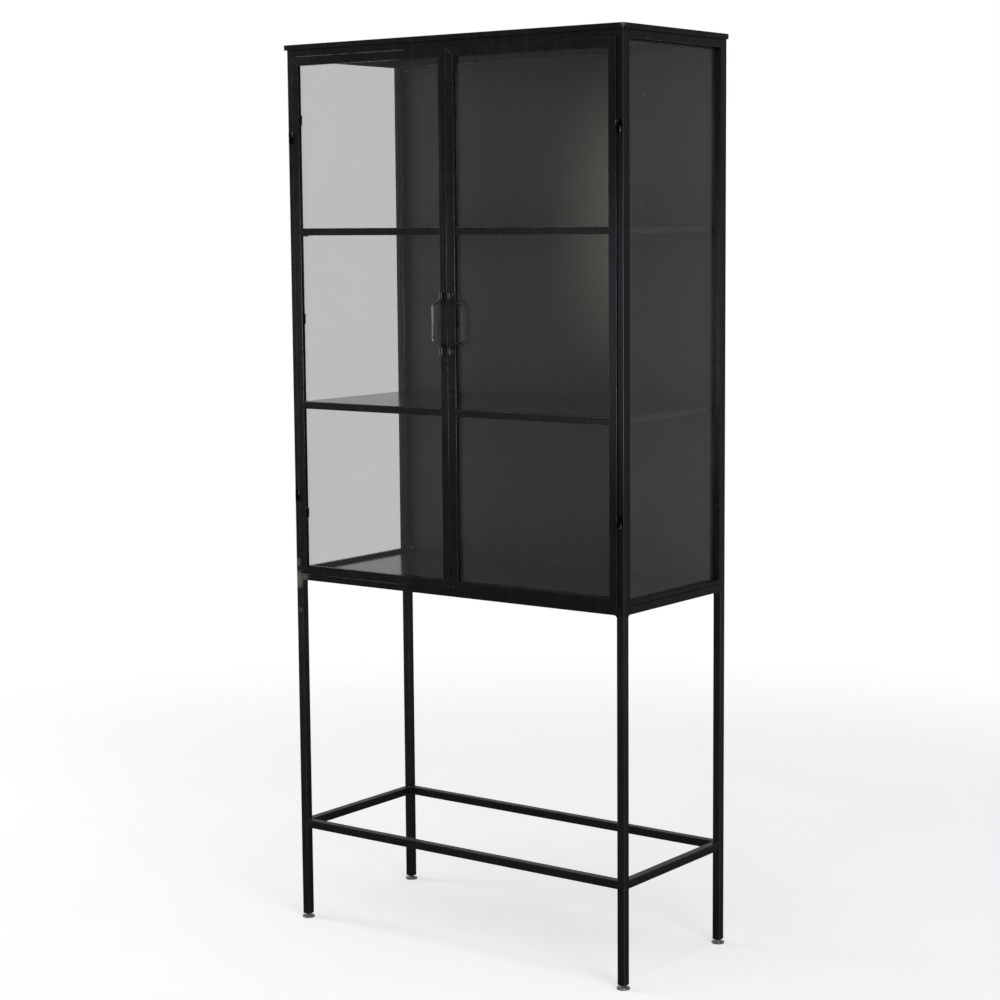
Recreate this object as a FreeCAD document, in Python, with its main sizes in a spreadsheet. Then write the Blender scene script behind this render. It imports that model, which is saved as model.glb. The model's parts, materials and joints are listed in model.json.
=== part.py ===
import FreeCAD, Part
import Sketcher
import math
import os
import re

# Tower display case: a welded square-tube stand that carries a glazed case with two shelves and a
# pair of overlay doors. Millimetres, +Z up, +X to the right and -Y towards the viewer. The origin
# is on the floor, under the middle of the whole object's outline.

DIMENSIONS = {
    # welded frame
    "case_width": 792,
    "case_depth": 352,
    "tube": 16,
    "tube_wall": 1.5,
    "tube_round": 1.2,
    "leg_base": 8,
    "case_base": 702,
    "case_top": 1752,
    "stretcher_base": 190,
    # top
    "tray_overhang": 4,
    "tray_height": 10,
    "tray_sheet": 2,
    "tray_round": 1.2,
    # panels and shelves
    "panel_sheet": 1.5,
    "panel_front": 12,
    "back_inset": 2.5,
    "shelf_height": 12,
    "shelf_gap": 0.5,
    "shelf_back_gap": 1,
    "lower_shelf_base": 1050,
    "upper_shelf_base": 1392,
    "tab_width": 12,
    "tab_depth": 14,
    "tab_sheet": 3,
    "tab_inset": 10.5,
    # side glazing
    "glass_sheet": 4,
    "glass_gap": 1,
    "side_inset": 9,
    "side_bar_height": 8,
    "side_strip_width": 5,
    "bead_depth": 3,
    "bead_width": 4,
    # doors
    "door_edge": 13,
    "door_overlap": 2,
    "door_bar": 17,
    "door_proud": 3,
    "door_web": 5,
    "door_seat_gap": 0.3,
    "door_step": 4.3,
    "door_round": 0.5,
    "meeting_gap": 2,
    "muntin_height": 14,
    "lower_muntin_base": 1048.5,
    "upper_muntin_base": 1391,
    "glass_overlap": 5,
    "clip_length": 20,
    "clip_sheet": 1.5,
    "clip_cover": 4,
    "clip_edge": 5,
    # hinges
    "lower_hinge_height": 872,
    "upper_hinge_height": 1582,
    "hinge_side_inset": 8.5,
    "hinge_proud": 3.8,
    "knuckle_radius": 3.5,
    "knuckle_length": 12,
    "knuckle_gap": 0.3,
    "pin_radius": 2,
    "pin_length": 22,
    "running_gap": 0.05,
    # handles
    "handle_height": 1225,
    "handle_inset": 8.5,
    "handle_proud": 7.5,
    "lug_radius": 3.5,
    "lug_reach": 14,
    "lug_inner": 47.5,
    "lug_length": 11,
    "wire_radius": 2.2,
    "bail_reach": 27.3,
    "bail_shoulder": 45.3,
    "bail_grip": 33,
    "bail_tip": 57,
    "bail_tilt": 16.8,
    # magnetic catch
    "catch_width": 40,
    "catch_depth": 12,
    "catch_height": 9,
    "catch_front": 7,
    "strike_width": 16,
    "strike_height": 6,
    "strike_edge": 2,
    # levelling feet
    "plug_length": 16,
    "stud_radius": 4,
    "stud_top": 38,
    "glide_radius": 12.5,
    "glide_height": 3,
    "glide_round": 0.8,
    "collar_radius": 6,
    "collar_height": 1.5,
}

# Places that many pieces share, as expressions of the sheet's cells.
FRONT = "((lug_reach - case_depth - glide_radius + tube / 2) / 2)"
DOOR_BASE = "(case_base + tube - door_overlap)"
DOOR_HEIGHT = "(case_top - case_base - 2 * tube + 2 * door_overlap)"
DOOR_WIDTH = "(case_width / 2 - door_edge - meeting_gap / 2)"
OPENING_BASE = "(case_base + tube)"
OPENING_HEIGHT = "(case_top - case_base - 2 * tube)"
INNER_WIDTH = "(case_width - 2 * tube)"
INNER_DEPTH = "(case_depth - 2 * tube)"
SIDES = {"left": -1, "right": 1}
ENDS = {"front": 0, "rear": 1}

doc = FreeCAD.newDocument("tower_display_case")
sheet = doc.addObject("Spreadsheet::Sheet", "dims")
nodes = []


def fill_sheet():
    """Write every driving dimension as a plain number with its alias."""
    for row, (alias, number) in enumerate(DIMENSIONS.items(), 1):
        sheet.set(f"A{row}", alias)
        sheet.set(f"B{row}", str(number))
        sheet.setAlias(f"B{row}", alias)
    doc.recompute()


def linked(text):
    """An expression on the sheet, from one written with bare aliases."""
    return re.sub(r"[a-z]\w*", lambda word: "dims." + word.group(), str(text))


def size(alias):
    return float(sheet.get(alias))


def new_body(node, x=0, y=0, z=0):
    """A sub-part, placed by three expressions."""
    body = doc.addObject("PartDesign::Body", node)
    body.Label = node
    body.AllowCompound = True
    for axis, place in zip("xyz", (x, y, z)):
        body.setExpression(f"Placement.Base.{axis}", linked(place))
    nodes.append(body)
    return body


def rectangle(x_low, y_low, x_high, y_high):
    return [(x_low, y_low), (x_high, y_low), (x_high, y_high), (x_low, y_high)]


def disc(radius, x=0, y=0):
    return {"radius": radius, "centre": (x, y)}


def pin_point(sketch, geometry, vertex, place):
    """Tie one point of a sketch to its two expressions, measured from the sketch's origin."""
    for kind, value in zip(("DistanceX", "DistanceY"), place):
        name = f"{kind}_{geometry}_{vertex}"
        index = sketch.addConstraint(Sketcher.Constraint(kind, -1, 1, geometry, vertex, 1.0))
        sketch.renameConstraint(index, name)
        sketch.setExpression(f"Constraints.{name}", linked(value))


def draw_path(sketch, points, closed=True):
    """Straight edges through the points, each vertex held by two distances."""
    first = sketch.GeometryCount
    count = len(points) if closed else len(points) - 1
    corner = [FreeCAD.Vector(math.cos(turn), math.sin(turn), 0)
              for turn in (math.tau * step / len(points) for step in range(len(points)))]
    for step in range(count):
        sketch.addGeometry(Part.LineSegment(corner[step], corner[(step + 1) % len(points)]))
    joins = count if closed else count - 1
    for step in range(joins):
        after = first + (step + 1) % count
        sketch.addConstraint(Sketcher.Constraint("Coincident", first + step, 2, after, 1))
    for step in range(count):
        pin_point(sketch, first + step, 1, points[step])
    if not closed:
        pin_point(sketch, first + count - 1, 2, points[-1])


def draw_circle(sketch, circle):
    edge = sketch.addGeometry(Part.Circle(FreeCAD.Vector(), FreeCAD.Vector(0, 0, 1), 1))
    pin_point(sketch, edge, 3, circle["centre"])
    name = f"Radius_{edge}"
    sketch.renameConstraint(sketch.addConstraint(Sketcher.Constraint("Radius", edge, 1.0)), name)
    sketch.setExpression(f"Constraints.{name}", linked(circle["radius"]))


def new_sketch(body, name, plane, start=0):
    """A sketch on one of the body's own planes, moved along that plane's axis."""
    sketch = body.newObject("Sketcher::SketchObject", f"{body.Name}_{name}_sketch")
    role = f"{plane}_Plane"
    support = next(item for item in body.Origin.OriginFeatures if item.Role == role)
    sketch.AttachmentSupport = [(support, "")]
    sketch.MapMode = "FlatFace"
    facing = "-1 * " if plane == "XZ" else ""
    sketch.setExpression("AttachmentOffset.Base.z", linked(f"{facing}({start})"))
    return sketch


def prism(body, name, plane, loops, start, length):
    """Closed loops on an origin plane, padded from start along that plane's axis."""
    sketch = new_sketch(body, name, plane, start)
    for loop in loops:
        if isinstance(loop, dict):
            draw_circle(sketch, loop)
        else:
            draw_path(sketch, loop)
    pad = body.newObject("PartDesign::Pad", f"{body.Name}_{name}")
    pad.Profile = sketch
    pad.Reversed = plane == "XZ"
    pad.setExpression("Length", linked(length))
    body.Tip = pad
    return pad


def block(body, name, x, y, z):
    """A rectangular pad, from three pairs of low and high expressions."""
    outline = rectangle(x[0], y[0], x[1], y[1])
    return prism(body, name, "XY", [outline], z[0], f"({z[1]}) - ({z[0]})")


def round_edges(body, radius, chosen):
    """Fillet the edges of the body so far that the test picks."""
    doc.recompute()
    base = body.Tip
    picked = [f"Edge{index}" for index, edge in enumerate(base.Shape.Edges, 1) if chosen(edge)]
    fillet = body.newObject("PartDesign::Fillet", f"{body.Name}_round")
    fillet.Base = (base, picked)
    fillet.setExpression("Radius", linked(radius))
    body.Tip = fillet


def along(edge, axis):
    """Whether an edge is straight and runs along one of the axes x, y and z."""
    if edge.Curve.TypeId != "Part::GeomLine":
        return False
    return abs(getattr(edge.Curve.Direction, axis)) > 0.999


def at(edge, axis, *places):
    """Whether the edge's middle is at one of the places along an axis."""
    middle = getattr(edge.CenterOfMass, axis)
    return any(abs(middle - place) < 0.01 for place in places)


def square_tube(node, axis, length, x, y, z):
    """Square tube with rounded long edges, open at both ends."""
    body = new_body(node, x, y, z)
    plane = {"x": "YZ", "y": "XZ", "z": "XY"}[axis]
    outer = rectangle("0", "0", "tube", "tube")
    inner = rectangle("tube_wall", "tube_wall", "tube - tube_wall", "tube - tube_wall")
    prism(body, "wall", plane, [outer, inner], "0", length)
    across = [other for other in "xyz" if other != axis]
    faces = (0, size("tube"))
    round_edges(body, "tube_round", lambda edge: along(edge, axis)
                and all(at(edge, other, *faces) for other in across))


def side_place(side):
    """The low X of a tube at the left or right side."""
    return "-case_width / 2" if side < 0 else "case_width / 2 - tube"


def end_place(end):
    """The low Y of a tube at the front or rear."""
    return f"{FRONT} + {end} * (case_depth - tube)"


def build_frame():
    """Legs, posts, stretchers and the rails round the case's floor and ceiling."""
    for side_name, side in SIDES.items():
        for end_name, end in ENDS.items():
            place = (side_place(side), end_place(end))
            square_tube(f"leg_{end_name}_{side_name}", "z", "case_base - leg_base", *place, "leg_base")
            square_tube(f"post_{end_name}_{side_name}", "z", "case_top - case_base", *place, "case_base")
    levels = {
        "stretcher": "stretcher_base",
        "bottom_rail": "case_base",
        "top_rail": "case_top - tube",
    }
    for kind, level in levels.items():
        for end_name, end in ENDS.items():
            start = "tube - case_width / 2"
            square_tube(f"{kind}_{end_name}", "x", INNER_WIDTH, start, end_place(end), level)
        for side_name, side in SIDES.items():
            start = f"{FRONT} + tube"
            square_tube(f"{kind}_{side_name}", "y", INNER_DEPTH, side_place(side), start, level)


def folded_pan(node, x, y, z, width, depth, height, skin, radius):
    """A sheet folded down on all four sides, open underneath."""
    body = new_body(node, x, y, z)
    outer = rectangle("0", "0", width, depth)
    inner = rectangle(skin, skin, f"{width} - {skin}", f"{depth} - {skin}")
    prism(body, "skirt", "XY", [outer, inner], "0", f"{height} - {skin}")
    prism(body, "sheet", "XY", [outer], f"{height} - {skin}", skin)
    doc.recompute()
    top = size(height)
    round_edges(body, radius, lambda edge: at(edge, "z", top))


def build_top():
    """The top tray, which overhangs all but the back, and the board that stiffens it."""
    width = "(case_width + 2 * tray_overhang)"
    depth = "(case_depth + tray_overhang)"
    corner = ("-case_width / 2 - tray_overhang", f"{FRONT} - tray_overhang", "case_top")
    folded_pan("top_tray", *corner, width, depth, "tray_height", "tray_sheet", "tray_round")
    board = new_body("top_board", *corner)
    block(board, "core", ("tray_sheet", f"{width} - tray_sheet"),
          ("tray_sheet", f"{depth} - tray_sheet"), ("0", "tray_height - tray_sheet"))


def build_panels():
    """Sheet floor and back of the case."""
    floor = new_body("floor_panel", "tube - case_width / 2", FRONT, OPENING_BASE)
    block(floor, "sheet", ("0", INNER_WIDTH),
          ("panel_front", "case_depth - back_inset - panel_sheet - shelf_back_gap"),
          ("0", "panel_sheet"))
    back = new_body("back_panel", "tube - case_width / 2", f"{FRONT} + case_depth - back_inset",
                    OPENING_BASE)
    block(back, "sheet", ("0", INNER_WIDTH), ("-panel_sheet", "0"), ("0", OPENING_HEIGHT))


def build_shelves():
    """Two folded shelves and the eight tabs that carry their corners."""
    width = f"({INNER_WIDTH} - 2 * shelf_gap)"
    depth = "(case_depth - back_inset - panel_sheet - shelf_back_gap - panel_front)"
    tabs = new_body("shelf_supports", "0", FRONT, "0")
    for level in ("lower", "upper"):
        base = f"{level}_shelf_base"
        folded_pan(f"shelf_{level}", "tube - case_width / 2 + shelf_gap", f"{FRONT} + panel_front",
                   base, width, depth, "shelf_height", "panel_sheet", "door_round")
        for side_name, side in SIDES.items():
            wall = f"{side} * (case_width / 2 - tube)"
            reach = f"{side} * (case_width / 2 - tube - tab_width)"
            for end_name in ENDS:
                low, high = "tab_inset", "tab_inset + tab_depth"
                if end_name == "rear":
                    low, high = f"case_depth - ({high})", f"case_depth - ({low})"
                block(tabs, f"{level}_{side_name}_{end_name}", (wall, reach), (low, high),
                      (f"{base} - tab_sheet", base))


def build_side_glazing():
    """A glass pane in each side, with outer bars flush with the frame and beads inside."""
    bars = new_body("glazing_bars", "0", f"{FRONT} + tube", OPENING_BASE)
    beads = new_body("glazing_beads", "0", f"{FRONT} + tube", OPENING_BASE)
    depth, height = INNER_DEPTH, OPENING_HEIGHT
    for side_name, side in SIDES.items():
        face = f"{side} * case_width / 2"
        seat = f"{side} * (case_width / 2 - side_inset)"
        rear = f"{side} * (case_width / 2 - side_inset - glass_sheet)"
        inside = f"{side} * (case_width / 2 - side_inset - glass_sheet - bead_depth)"
        glass = new_body(f"side_glass_{side_name}", "0", f"{FRONT} + tube", OPENING_BASE)
        block(glass, "pane", (seat, rear), ("glass_gap", f"{depth} - glass_gap"),
              ("glass_gap", f"{height} - glass_gap"))
        for group, x, upright, level in ((bars, (face, seat), "side_strip_width", "side_bar_height"),
                                         (beads, (rear, inside), "bead_width", "bead_width")):
            block(group, f"{side_name}_front", x, ("0", upright), ("0", height))
            block(group, f"{side_name}_rear", x, (f"{depth} - {upright}", depth), ("0", height))
            block(group, f"{side_name}_sill", x, (upright, f"{depth} - {upright}"), ("0", level))
        block(beads, f"{side_name}_head", (rear, inside), ("bead_width", f"{depth} - bead_width"),
              (f"{height} - bead_width", height))


def door_place(side):
    """The lower outer corner of a door, on the frame's front face."""
    return (f"{side} * (case_width / 2 - door_edge)", FRONT, DOOR_BASE)


def across_door(side, distance):
    """X in a door's own frame, for a distance from its hinge edge."""
    return f"{-side} * ({distance})"


def door_profile(side, points):
    return [(across_door(side, across), up) for across, up in points]


def stepped_bar(body, name, side, flange, web):
    """A door bar: the flange lies over the frame, the web enters the opening."""
    prism(body, f"{name}_flange", "XZ", [door_profile(side, flange)], "-door_proud",
          "door_proud - door_seat_gap")
    prism(body, f"{name}_web", "XZ", [door_profile(side, web)], "-door_seat_gap",
          "door_web + door_seat_gap")


def round_front(body):
    """Ease the straight edges of a door bar's face, but not its welded mitres."""
    face = -size("door_proud")
    round_edges(body, "door_round", lambda edge: at(edge, "y", face)
                and (along(edge, "x") or along(edge, "z")) and edge.Length > size("door_bar"))


def build_door_frame(name, side):
    """Mitred stiles and rails, and two muntins level with the shelves."""
    width, height, bar, step = DOOR_WIDTH, DOOR_HEIGHT, "door_bar", "door_step"
    place = door_place(side)

    hinge_stile = new_body(f"{name}_hinge_stile", *place)
    flange = [("0", "0"), (bar, bar), (bar, f"{height} - {bar}"), ("0", height)]
    web = [(step, step), (bar, bar), (bar, f"{height} - {bar}"), (step, f"{height} - {step}")]
    stepped_bar(hinge_stile, "bar", side, flange, web)
    round_front(hinge_stile)

    meeting_stile = new_body(f"{name}_meeting_stile", *place)
    inner = f"{width} - {bar}"
    flange = [(width, "0"), (inner, bar), (inner, f"{height} - {bar}"), (width, height)]
    web = [(width, step), (f"{width} - {step}", step), (inner, bar), (inner, f"{height} - {bar}"),
           (f"{width} - {step}", f"{height} - {step}"), (width, f"{height} - {step}")]
    stepped_bar(meeting_stile, "bar", side, flange, web)
    round_front(meeting_stile)

    rails = new_body(f"{name}_rails", *place)
    for end_name, outer, inward in (("bottom", "0", 1), ("top", height, -1)):
        stepped, edge = f"{outer} + {inward} * {step}", f"{outer} + {inward} * {bar}"
        flange = [("0", outer), (width, outer), (inner, edge), (bar, edge)]
        web = [(step, stepped), (f"{width} - {step}", stepped), (inner, edge), (bar, edge)]
        stepped_bar(rails, end_name, side, flange, web)
    round_front(rails)

    muntins = new_body(f"{name}_muntins", *place)
    for level in ("lower", "upper"):
        base = f"{level}_muntin_base - {DOOR_BASE}"
        top = f"{base} + muntin_height"
        outline = door_profile(side, rectangle(bar, base, inner, top))
        prism(muntins, level, "XZ", [outline], "-door_proud", "door_proud + door_web")
    round_front(muntins)


def build_door_glass(name, side):
    """One pane per door behind its bars, and the clips that hold it."""
    width, height = DOOR_WIDTH, DOOR_HEIGHT
    place = door_place(side)
    inset = "(door_bar - glass_overlap)"
    pane = new_body(f"{name}_glass", *place)
    outline = door_profile(side, rectangle(inset, inset, f"{width} - {inset}", f"{height} - {inset}"))
    prism(pane, "pane", "XZ", [outline], "door_web", "glass_sheet")

    clips = new_body(f"{name}_glass_clips", *place)
    back = "door_web + glass_sheet"
    lip = f"{back} + clip_sheet"
    low = [("clip_edge", "door_web"), (inset, "door_web"), (inset, back),
           (f"{inset} + clip_cover", back), (f"{inset} + clip_cover", lip), ("clip_edge", lip)]
    for step, share in enumerate((0.12, 0.5, 0.88), 1):
        start = f"{share} * {height} - clip_length / 2"
        for edge, points in (("hinge", low), ("meeting", [(f"{width} - ({u})", y) for u, y in low])):
            loop = [(across_door(side, u), y) for u, y in points]
            prism(clips, f"{edge}_{step}", "XY", [loop], start, "clip_length")
    for step, share in enumerate((0.25, 0.75), 1):
        start = across_door(side, f"{share} * {width} {'+' if side > 0 else '-'} clip_length / 2")
        for edge, points in (("sill", low), ("head", [(f"{height} - ({v})", y) for v, y in low])):
            loop = [(y, v) for v, y in points]
            prism(clips, f"{edge}_{step}", "YZ", [loop], start, "clip_length")


def build_hinges(name, side):
    """Barrel hinges: the lower knuckle on the post, the upper one on the door's edge."""
    ring = [disc("knuckle_radius"), disc("pin_radius + running_gap")]
    land = "pin_radius + running_gap + 0.5"
    place = (f"{side} * (case_width / 2 - hinge_side_inset)", f"{FRONT} - hinge_proud", "0")
    door_edge = f"{-side} * (door_edge - hinge_side_inset)"
    knuckles = new_body(f"{name}_hinge_knuckles", *place)
    for level in ("lower", "upper"):
        base = f"{level}_hinge_height + knuckle_gap / 2"
        length = "knuckle_length - knuckle_gap / 2"
        prism(knuckles, f"{level}_barrel", "XY", ring, base, length)
        block(knuckles, f"{level}_land", (f"{-side} * ({land})", door_edge),
              ("hinge_proud - door_proud", "hinge_proud - door_proud + pin_radius"),
              (base, f"{base} + {length}"))


def build_hinge_roots():
    """The knuckles welded to the posts, and the pins fixed in them."""
    knuckles = new_body("hinge_post_knuckles", "0", f"{FRONT} - hinge_proud", "0")
    pins = new_body("hinge_pins", "0", f"{FRONT} - hinge_proud", "0")
    for side_name, side in SIDES.items():
        centre = f"{side} * (case_width / 2 - hinge_side_inset)"
        for level in ("lower", "upper"):
            name = f"{side_name}_{level}"
            base = f"{level}_hinge_height - knuckle_length"
            length = "knuckle_length - knuckle_gap / 2"
            loops = [disc("knuckle_radius", centre), disc("pin_radius", centre)]
            prism(knuckles, f"{name}_barrel", "XY", loops, base, length)
            block(knuckles, f"{name}_land", (f"{centre} - pin_radius", f"{centre} + pin_radius"),
                  ("pin_radius + 0.5", "hinge_proud"), (base, f"{base} + {length}"))
            prism(pins, f"{name}_pin", "XY", [disc("pin_radius", centre)],
                  f"{level}_hinge_height - pin_length / 2", "pin_length")


def build_handle(name, side):
    """Two lugs on the meeting stile, and the wire bail that pivots between them."""
    centre = f"{side} * (meeting_gap / 2 + handle_inset)"
    place = (centre, f"{FRONT} - door_proud - handle_proud", "handle_height")
    lugs = new_body(f"{name}_handle_lugs", *place)
    bore = "wire_radius + running_gap"
    for end, start in (("upper", "lug_inner"), ("lower", "-lug_inner - lug_length")):
        prism(lugs, f"{end}_eye", "XY", [disc("lug_radius"), disc(bore)], start, "lug_length")
        block(lugs, f"{end}_stem", ("-wire_radius", "wire_radius"), (f"{bore} + 0.5", "handle_proud"),
              (start, f"{start} + lug_length"))

    bail = new_body(f"bail_{'left' if side < 0 else 'right'}", *place)
    tilt = size("bail_tilt")
    bail.Placement.Rotation = FreeCAD.Rotation(FreeCAD.Vector(0, 0, 1), 180 - tilt if side < 0 else tilt)
    path = new_sketch(bail, "path", "XZ")
    draw_path(path, [("0", "bail_tip"), ("0", "bail_shoulder"), ("bail_reach", "bail_grip"),
                     ("bail_reach", "-bail_grip"), ("0", "-bail_shoulder"), ("0", "-bail_tip")],
              closed=False)
    section = new_sketch(bail, "section", "XY", "bail_tip")
    draw_circle(section, disc("wire_radius"))
    doc.recompute()
    wire = bail.newObject("PartDesign::AdditivePipe", f"{bail.Name}_wire")
    wire.Profile = section
    wire.Spine = path
    wire.Transition = "Round corner"
    bail.Tip = wire


def build_catch():
    """A double magnetic catch under the top front rail."""
    catch = new_body("magnetic_catch", "0", FRONT, "case_top - tube")
    block(catch, "case", ("-catch_width / 2", "catch_width / 2"),
          ("catch_front", "catch_front + catch_depth"), ("-catch_height", "0"))


def build_strike(name, side):
    """The steel plate that the magnet pulls, on the back of the door's top corner."""
    strike = new_body(f"{name}_strike", *door_place(side))
    edge, width, height = "strike_edge", DOOR_WIDTH, DOOR_HEIGHT
    across = (across_door(side, f"{width} - {edge} - strike_width"),
              across_door(side, f"{width} - {edge}"))
    top = f"{height} - door_step - 0.2"
    block(strike, "plate", across, ("door_web", "door_web + clip_sheet"),
          (f"{top} - strike_height", top))


def build_feet():
    """Threaded plugs in the legs, and a levelling glide in each of them."""
    plugs = new_body("leg_plugs", "0", "0", "leg_base")
    bore = "stud_radius + running_gap"
    fill = "(tube / 2 - tube_wall)"
    for side_name, side in SIDES.items():
        for end_name, end in ENDS.items():
            x = f"({side} * (case_width / 2 - tube / 2))"
            y = f"({FRONT} + tube / 2 + {end} * (case_depth - tube))"
            outline = rectangle(f"{x} - {fill}", f"{y} - {fill}", f"{x} + {fill}", f"{y} + {fill}")
            prism(plugs, f"{end_name}_{side_name}", "XY", [outline, disc(bore, x, y)], "0",
                  "plug_length")
            glide = new_body(f"glide_{end_name}_{side_name}", x, y, "0")
            prism(glide, "foot", "XY", [disc("glide_radius")], "0", "glide_height")
            prism(glide, "collar", "XY", [disc("collar_radius")], "glide_height", "collar_height")
            prism(glide, "stud", "XY", [disc("stud_radius")], "glide_height", "stud_top - glide_height")
            rim = size("glide_height")
            round_edges(glide, "glide_round", lambda edge: at(edge, "z", rim)
                        and edge.BoundBox.XLength > size("glide_radius"))


def check_and_export():
    """Refuse a failed object or a bad shape, then write one STEP per sub-part."""
    doc.recompute()
    for item in doc.Objects:
        if "Invalid" in item.State or "Error" in item.State:
            raise RuntimeError(f"{item.Name} failed: {item.State}")
    for body in nodes:
        if body.Shape.isNull() or not body.Shape.isValid() or body.Shape.Volume <= 0:
            raise RuntimeError(f"{body.Label} has no valid shape")
    os.makedirs("parts", exist_ok=True)
    for body in nodes:
        body.Shape.exportStep(f"parts/{body.Label}.step")


fill_sheet()
build_frame()
build_top()
build_panels()
build_shelves()
build_side_glazing()
for door_name, door_side in (("door_left", -1), ("door_right", 1)):
    build_door_frame(door_name, door_side)
    build_door_glass(door_name, door_side)
    build_hinges(door_name, door_side)
    build_handle(door_name, door_side)
    build_strike(door_name, door_side)
build_hinge_roots()
build_catch()
build_feet()
check_and_export()
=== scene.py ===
import json
import math
import random

import bmesh
import bpy
from mathutils import Matrix, Vector


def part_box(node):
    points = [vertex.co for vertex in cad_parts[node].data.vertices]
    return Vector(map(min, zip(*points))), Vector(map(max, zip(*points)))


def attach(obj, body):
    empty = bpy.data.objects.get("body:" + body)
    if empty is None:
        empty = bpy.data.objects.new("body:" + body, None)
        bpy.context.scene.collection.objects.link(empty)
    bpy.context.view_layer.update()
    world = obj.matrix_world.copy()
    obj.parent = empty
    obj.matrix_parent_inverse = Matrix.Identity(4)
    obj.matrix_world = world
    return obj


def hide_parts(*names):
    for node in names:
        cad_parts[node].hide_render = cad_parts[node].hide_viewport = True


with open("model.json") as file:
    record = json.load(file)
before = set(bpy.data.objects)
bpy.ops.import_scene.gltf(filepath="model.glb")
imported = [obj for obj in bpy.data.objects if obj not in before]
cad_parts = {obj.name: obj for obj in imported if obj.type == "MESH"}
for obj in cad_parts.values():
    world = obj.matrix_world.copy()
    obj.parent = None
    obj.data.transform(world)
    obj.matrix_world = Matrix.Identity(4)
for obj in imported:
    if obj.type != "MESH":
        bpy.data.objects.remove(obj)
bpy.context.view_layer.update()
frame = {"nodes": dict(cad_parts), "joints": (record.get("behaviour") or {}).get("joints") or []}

MM = 0.001
SIDES = {"left": -1, "right": 1}
ENDS = {"front": -1, "rear": 1}
JOINTS = {joint["name"]: joint for joint in frame["joints"]}

# The left door's corners, and the front face of the frame that both doors lie over.
DOOR_LOW, DOOR_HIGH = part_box("door_left_rails")
FRONT_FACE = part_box("post_front_left")[0].y

# The camera, as the photograph's straight edges give it: metres, degrees and millimetres of lens.
CAMERA_PLACE = (2.6747, -3.5940, 1.4156)
CAMERA_YAW = 36.763
CAMERA_PITCH = 6.925
CAMERA_ROLL = -0.471
CAMERA_LENS = 82.58
CAMERA_SENSOR = 36

# The studio. The room, the backdrop and the window are light only: the camera sees white.
WHITE = (1, 1, 1, 1)
ROOM_LIGHT = 0.225
BACKDROP_LIGHT = 0.60
BACKDROP_TOWARD = (-0.60, 0.80, 0)
WINDOW_LIGHT = (0.72, 0.69, 0.57, 1)
WINDOW_BEARING = math.radians(33.2)
WINDOW_WIDTH, WINDOW_HEIGHT = 0.046, 0.082
LAMP_TARGET = (0, 0, 1.1)
LAMP_COOL = (0.93, 0.96, 1.0)
LAMP_WHITE = (1, 1, 1)
FLOOR_RADIUS = 6.0
FLOOR_FADE = (1.3, 3.1)
FLOOR_GLOW = 0.52
FLOOR_TONES = (0.80, 0.80, 0.79, 1), (0.83, 0.83, 0.82, 1)
FLOOR_BOUNCE = (0.30, 0.30, 0.30, 1)

# The height where the painted sheen and edge highlight on the case's front are brightest, and half the
# length of a bail that hands hold.
SHEEN_HEIGHT = 1.22
GRIP_REACH = 34 * MM

# The bails: the bar's radius, the bend's radius, and heights above and below the bail's middle.
BAIL_WIRE = 2.2 * MM
BAIL_BEND = 1.8 * MM
BAIL_TIP = 57 * MM
BAIL_SHOULDER = 45.3 * MM
BAIL_GRIP = 33 * MM

# The hinges: a knuckle's length, the gap between the two, and the weld sleeve's radius.
KNUCKLE = 12 * MM
KNUCKLE_GAP = 0.3 * MM
SLEEVE_RADIUS = 3.6 * MM

# The welds between the legs and the case.
FILLET_SIZE = 7.5 * MM
FILLET_STEPS = 6

# Colours in pairs are the two ends of a mottle.
STAND_BLACK = (0.0050, 0.0048, 0.0042, 1), (0.0105, 0.0090, 0.0062, 1)
WAXED_BLACK = (0.0018, 0.0018, 0.0017, 1), (0.0045, 0.0040, 0.0032, 1)
# Painted shade for the doors' outer side faces and the knuckles.
PAINTED_SHADE_BLACK = (0.0008, 0.0008, 0.0008, 1), (0.0030, 0.0030, 0.0028, 1)
WELD_SCALE = (0.0050, 0.0048, 0.0042, 1), (0.045, 0.042, 0.040, 1)
WELD_GROUND = (0.07, 0.062, 0.05, 1), (0.42, 0.39, 0.33, 1)
BACK_LACQUER = (0.0165, 0.0146, 0.0105, 1), (0.0190, 0.0168, 0.0122, 1)
SHELF_LACQUER = (0.0085, 0.0083, 0.0079, 1), (0.0110, 0.0107, 0.0101, 1)
BOARD_PAINT = (0.018, 0.0175, 0.0165, 1), (0.024, 0.0234, 0.022, 1)
ZINC = (0.50, 0.49, 0.46, 1), (0.20, 0.19, 0.17, 1)
PANE_TINT = (0.990, 0.994, 0.990, 1), (0.984, 0.990, 0.984, 1)
CUT_EDGE_TINT = (0.10, 0.20, 0.16, 1), (0.07, 0.16, 0.12, 1)
CATCH_BLACK = (0.012, 0.012, 0.012, 1), (0.02, 0.02, 0.02, 1)
NYLON_BLACK = (0.02, 0.02, 0.02, 1), (0.03, 0.03, 0.03, 1)
# A painted sheen for the case's front at mid-height.
PAINTED_SHEEN_STEEL = (0.032, 0.033, 0.037, 1)
# Bright bluish steel for worn edges and grips, with a painted highlight in it.
WORN_AND_HIGHLIT_STEEL = (0.40, 0.42, 0.47, 1)
BARE_STEEL = (0.42, 0.39, 0.33, 1)
# Painted shade along the doors' edges, also used for the dark seams at the sides.
SHADE_AND_JOINT_BLACK = (0.0010, 0.0010, 0.0010, 1)
BROWN_STREAK = (0.022, 0.018, 0.011, 1)
GREY_SPECK = (0.05, 0.047, 0.042, 1)
DUST_NIB = (0.16, 0.15, 0.13, 1)
GLASS_SHADOW = (0.90, 0.92, 0.91, 1)


# ---------------------------------------------------------------- node helpers

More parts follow.
